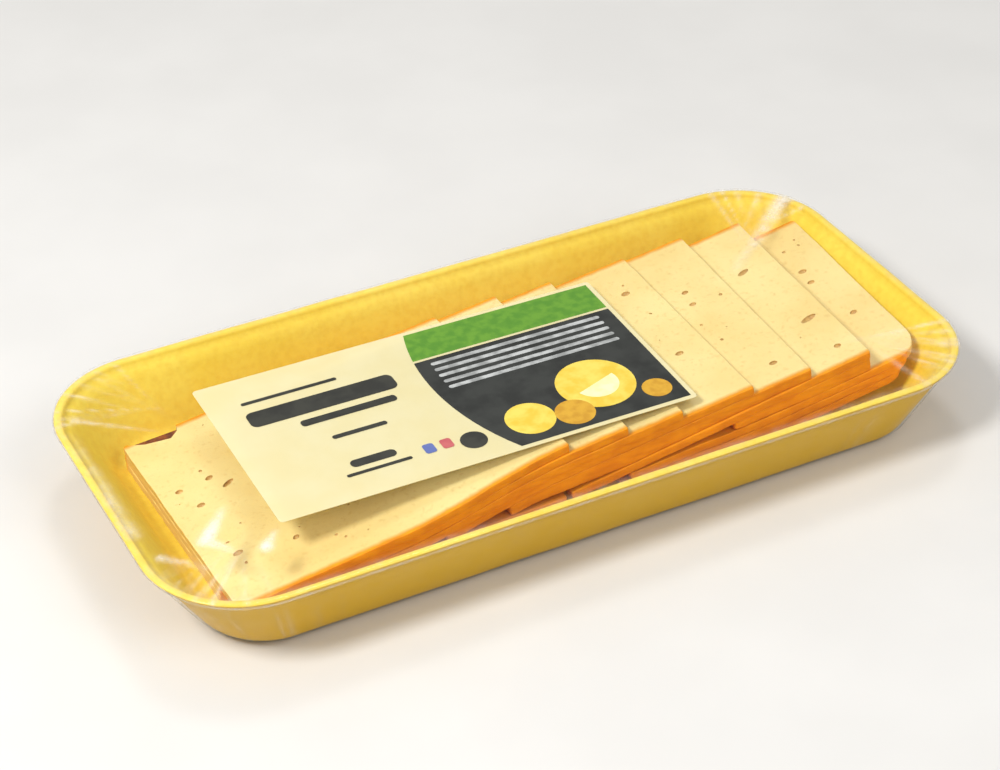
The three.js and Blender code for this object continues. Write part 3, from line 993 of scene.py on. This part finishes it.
def corner_folds():
    """Small tension folds that fan in from each round corner of the rim."""
    draw = random.Random(FAN["seed"])
    folds = []
    reach_x = RIM["length"] / 2 - RIM["corner"]
    reach_y = RIM["width"] / 2 - RIM["corner"]
    for side_x, side_y in ((-1, 1), (-1, -1), (1, 1), (1, -1)):
        for step in range(FAN["count"]):
            place = (step + draw.uniform(*FAN["jitter"])) / FAN["count"]
            angle = math.radians(mix(*FAN["angles"], place))
            start = RIM["corner"] - FAN["start"]
            end = start - draw.uniform(*FAN["length"])
            bend = draw.uniform(*FAN["bend"])
            folds.append((
                side_x * (reach_x + start * math.cos(angle)),
                side_y * (reach_y + start * math.sin(angle)),
                side_x * (reach_x + end * math.cos(angle + bend)),
                side_y * (reach_y + end * math.sin(angle + bend)),
                draw.uniform(*FAN["width"]), draw.uniform(*FAN["height"]), draw.uniform(*FAN["milk_and_glare"]),
            ))
    return folds


def fold_fields(points):
    """Height, and milkiness with painted glare, that the folds give to the film's top at each point.
    """
    height = np.zeros(len(points))
    milk_and_glare = np.zeros(len(points))
    for ax, ay, bx, by, width, rise, whitening in FOLDS + corner_folds():
        along_x, along_y = bx - ax, by - ay
        length = math.hypot(along_x, along_y)
        share = ((points[:, 0] - ax) * along_x + (points[:, 1] - ay) * along_y) / length ** 2
        inside = np.clip(share, 0, 1)
        distance = np.hypot(points[:, 0] - ax - inside * along_x, points[:, 1] - ay - inside * along_y)
        taper = 1 - FOLD_TAPER * inside
        ridge = np.exp(-(distance / (width * mix(FOLD_NARROWEST, 1.0, taper))) ** 2)
        height += rise * taper * ridge
        milk_and_glare = np.maximum(milk_and_glare, whitening * taper * ridge)
    return height, milk_and_glare


def pleat_fields(points):
    """How much the film's wall stands out in upright pleats, at each point of an outline."""
    draw = random.Random(PLEATS["seed"])
    steps = np.linalg.norm(np.roll(points, -1, axis=0)[:, :2] - points[:, :2], axis=1)
    way = np.concatenate([[0], np.cumsum(steps)[:-1]])
    whole = steps.sum()
    corner_length = math.pi / 2 * RIM["corner"]
    long_side = RIM["length"] - 2 * RIM["corner"]
    short_side = RIM["width"] - 2 * RIM["corner"]
    starts = [0, corner_length + short_side, 2 * corner_length + short_side + long_side]
    starts.append(3 * corner_length + 2 * short_side + long_side)
    out = np.zeros(len(points))
    for start in starts:
        for _ in range(PLEATS["count"]):
            centre = start + draw.uniform(*PLEATS["place"]) * corner_length
            width = draw.uniform(*PLEATS["width"])
            distance = np.abs((way - centre + whole / 2) % whole - whole / 2)
            out += draw.uniform(*PLEATS["height"]) * np.exp(-(distance / width) ** 2)
    return np.minimum(out, PLEATS["most"])


def film_rings(distance):
    """One face of the film: from the middle of its top, down the wall and under the base."""
    top = RIM_HEIGHT + distance
    bend = [outline_ring(0, inset + FILM_GAP - distance, top - drop) for inset, drop in FILM_BEND]
    sheet = to_middle_line(bend[0], SHEET_SHARES)[::-1]
    wall = [wall_ring(z, distance) for z in wall_heights()][::-1]
    under = to_middle_line(wall[-1], UNDER_SHARES)
    return sheet, bend, wall, under


def film_skin(distance, pleats, normals):
    """One face of the film as rings of points, with the milkiness and painted light at each of them.
    """
    sheet, bend, wall, under = film_rings(distance)
    rings, whitenings = [], []
    for ring in sheet + bend:
        height, milk_and_glare = fold_fields(ring)
        inside = smooth((RIM_HEIGHT + distance - ring[:, 2] + 0.05) / -0.1 + 1)
        rings.append(ring + np.column_stack([ring[:, :2] * 0, height * inside]))
        # Painted highlight: a pale line along the rim's outline
        from_rim = np.hypot(*(ring - bend[0])[:, :2].T)
        haze_and_highlight = RIM_PAINTED_HIGHLIGHT["milk_and_glare"] * np.exp(-(from_rim / RIM_PAINTED_HIGHLIGHT["reach"]) ** 2)
        whitenings.append(np.maximum(milk_and_glare, haze_and_highlight))
    for ring in wall:
        depth = (RIM_HEIGHT - ring[0, 2]) / RIM_HEIGHT
        grown = float(smooth(depth * PLEAT_ENDS["top"]))
        grown *= float(smooth((1 - depth) * PLEAT_ENDS["bottom"]))
        rings.append(ring + normals * (pleats * grown)[:, None])
        # Painted light: a lighter band towards the top of the wall, under the lip
        risen = float(smooth((ring[0, 2] - WALL_PAINTED_HIGHLIGHT["start"]) / WALL_PAINTED_HIGHLIGHT["reach"]))
        whitenings.append(np.maximum(pleats * grown * PLEAT_HAZE, WALL_PAINTED_HIGHLIGHT["milk_and_glare"] * risen))
    for ring in under:
        rings.append(ring)
        whitenings.append(np.zeros(len(ring)))
    return rings, whitenings


def film_piece():
    top_of_tray = outline_ring(0, 0, RIM_HEIGHT)
    pleats = pleat_fields(top_of_tray)
    normals = outward(top_of_tray)
    inner_rings, inner_clouds = film_skin(FILM_GAP, pleats, normals)
    outer_rings, outer_clouds = film_skin(FILM_GAP + FILM_THICKNESS, pleats, normals)
    rings = inner_rings + outer_rings[::-1]
    whitenings = inner_clouds + outer_clouds[::-1]
    points = np.concatenate(rings)
    piece = mesh_object("film_wrap", points, skin_faces(len(rings), len(rings[0])), [film_material()])
    set_attribute(piece, "milk_and_glare", np.concatenate(whitenings))
    merge_close_points(piece)
    finish_piece(piece, "film", "film")


def outward(ring):
    """Level directions away from an outline, one for each of its points."""
    ahead = np.roll(ring, -1, axis=0) - np.roll(ring, 1, axis=0)
    normal = np.column_stack([ahead[:, 1], -ahead[:, 0], np.zeros(len(ring))])
    return normal / np.linalg.norm(normal, axis=1)[:, None]


# Label

def label_point(u, v, z):
    """From the label's own axes, u to the right and v to the far side, to the pack's."""
    angle = math.radians(LABEL["turn"])
    x = LABEL["x"] + u * math.cos(angle) - v * math.sin(angle)
    y = LABEL["y"] + u * math.sin(angle) + v * math.cos(angle)
    return (x, y, z)


def prism(outline, low, high):
    """Points and faces of a flat prism from an outline in the label's axes."""
    count = len(outline)
    points = [label_point(u, v, z) for z in (low, high) for u, v in outline]
    faces = [tuple(range(count - 1, -1, -1)), tuple(range(count, 2 * count))]
    return points, faces + skin_faces(2, count)


def rounded_bar(u, v, length, height, corner):
    """The outline of a bar with round corners, in the label's axes."""
    points = []
    for quarter, (side_u, side_v) in enumerate([(1, -1), (1, 1), (-1, 1), (-1, -1)]):
        for step in range(BAR_ARC_STEPS + 1):
            angle = math.radians(-90 + 90 * quarter + 90 / BAR_ARC_STEPS * step)
            points.append((
                u + side_u * (length / 2 - corner) + corner * math.cos(angle),
                v + side_v * (height / 2 - corner) + corner * math.sin(angle),
            ))
    return points


def disc(u, v, radius, start=0, end=360):
    """The outline of a disc, or of a part of one that a straight line closes."""
    count = DISC_STEPS if end - start >= 360 else DISC_STEPS + 1
    angles = [math.radians(mix(start, end, i / DISC_STEPS)) for i in range(count)]
    return [(u + radius * math.cos(a), v + radius * math.sin(a)) for a in angles]


def label_piece():
    outline = rounded_bar(0, 0, LABEL["length"], LABEL["width"], LABEL["corner"])
    points, faces = prism(outline, LABEL_BOTTOM, LABEL_BOTTOM + LABEL_THICKNESS)
    piece = mesh_object("label_sheet", points, faces, [label_material()])
    piece.data.set_sharp_from_angle(angle=math.radians(PRINT_EDGE))
    finish_piece(piece, "label", "label")


def field_left(v):
    """Where the printed field begins, at a height on the label."""
    return FIELD_ARC["u"] - math.sqrt(FIELD_ARC["radius"] ** 2 - (v - FIELD_ARC["v"]) ** 2)


def field(low, high, right):
    """The part of the printed field between two heights."""
    heights = [mix(low, high, i / FIELD_STEPS) for i in range(FIELD_STEPS + 1)]
    return [(right, low), (right, high)] + [(field_left(v), v) for v in heights[::-1]]


def stripe(v, right):
    """A level bar across the middle of the printed field."""
    left = field_left(v)
    length = (right - left) * STRIPES["share"]
    return rounded_bar(mix(left, right, 0.5), v, length, STRIPES["height"], STRIPES["corner"])


def print_shapes():
    """Name, tones, patch size and the outlines of every printed colour, lowest first."""
    right, top = LABEL["length"] / 2 - LABEL_MARGIN, LABEL["width"] / 2 - LABEL_MARGIN
    stripes = [stripe(v, right) for v in STRIPES["heights"]]
    return [
        ("print_green", (104, 158, 40), (84, 142, 32), 3, [field(19.0, top, right)]),
        ("print_dark", (30, 32, 28), (48, 50, 46), 8, [field(-top, 18.0, right)]),
        ("print_grey", (150, 152, 150), (196, 198, 196), 4, stripes),
        ("print_yellow", (236, 200, 60), (246, 220, 96), 5, [disc(42, -15, 12), disc(17, -22, 7.5)]),
        ("print_ochre", (206, 150, 30), (222, 170, 44), 3, [disc(30, -25, 6), disc(57, -25, 4.5)]),
        ("print_pale", (250, 240, 170), (252, 246, 196), 4, [disc(42, -15, 7, 200, 380)]),
        ("print_ink", (40, 40, 34), (54, 54, 46), 6, [
            rounded_bar(-33, 13, 46, 7.5, 2.2), rounded_bar(-28, 5, 30, 3.0, 1.2),
            rounded_bar(-40, 21.5, 30, 1.4, 0.6), rounded_bar(-29, -5, 17, 1.8, 0.8),
            rounded_bar(-31, -19, 14, 3.4, 1.6), rounded_bar(-31, -23.5, 20, 1.3, 0.6),
            disc(-2, -24, 4.0),
        ]),
        ("print_blue", (96, 112, 176), (110, 124, 184), 4, [rounded_bar(-15, -22, 3.4, 4.4, 0.9)]),
        ("print_red", (196, 92, 96), (204, 104, 104), 4, [rounded_bar(-9.6, -22, 3.4, 4.4, 0.9)]),
    ]


def label_print():
    """Plain bars and fields of colour on the label, each a thin closed layer."""
    layer = LABEL_BOTTOM + LABEL_THICKNESS + INK["above"]
    points, faces, indices, materials = [], [], [], []
    for level, (name, first, second, size, outlines) in enumerate(print_shapes()):
        materials.append(print_material(name, first, second, size))
        for outline in outlines:
            made_points, made_faces = prism(outline, layer, layer + INK["thickness"])
            start = len(points)
            points += made_points
            faces += [tuple(start + i for i in face) for face in made_faces]
            indices += [level] * len(made_faces)
        layer += INK["step"]
    piece = mesh_object("label_print", points, faces, materials, indices)
    piece.data.set_sharp_from_angle(angle=math.radians(PRINT_EDGE))
    finish_piece(piece, "label")


# Studio

def studio_camera():
    data = bpy.data.cameras.new("camera")
    data.lens, data.sensor_width, data.sensor_fit = CAMERA["lens"], CAMERA["sensor"], "HORIZONTAL"
    data.clip_start, data.clip_end = CAMERA["clip"]
    camera = bpy.data.objects.new("camera", data)
    bpy.context.scene.collection.objects.link(camera)
    turn = Matrix.Rotation(math.radians(CAMERA["azimuth"]), 4, "Z")
    tilt = Matrix.Rotation(math.radians(90 - CAMERA["elevation"]), 4, "X")
    roll = Matrix.Rotation(math.radians(CAMERA["roll"]), 4, "Z")
    back = turn @ tilt @ Vector((0, 0, CAMERA["distance"] * MM))
    place = Matrix.Translation(Vector(CAMERA["target"]) * MM + back)
    camera.matrix_world = place @ turn @ tilt @ roll
    bpy.context.scene.camera = camera


def area_light(name, place, size, power):
    data = bpy.data.lights.new(name, "AREA")
    data.shape, data.size, data.energy = "DISK", size, power
    light = bpy.data.objects.new(name, data)
    light.location = place
    light.rotation_euler = (-Vector(place)).to_track_quat("-Z", "Y").to_euler()
    bpy.context.scene.collection.objects.link(light)


def studio():
    half = FLOOR_HALF
    corners = np.array([(-half, -half, 0), (half, -half, 0), (half, half, 0), (-half, half, 0)])
    floor = mesh_object("floor", corners / MM, [(0, 1, 2, 3)], [floor_material()])
    floor.location.z = -FLOOR_DROP
    world = bpy.data.worlds.new("studio")
    world.use_nodes = True
    background = world.node_tree.nodes["Background"]
    background.inputs["Color"].default_value = (1, 1, 1, 1)
    background.inputs["Strength"].default_value = WORLD_STRENGTH
    bpy.context.scene.world = world
    for light in LIGHTS:
        area_light(*light)
    bpy.context.scene.view_settings.view_transform = "Standard"


studio_camera()
tray_piece()
cheese_slices()
film_piece()
label_piece()
label_print()
studio()
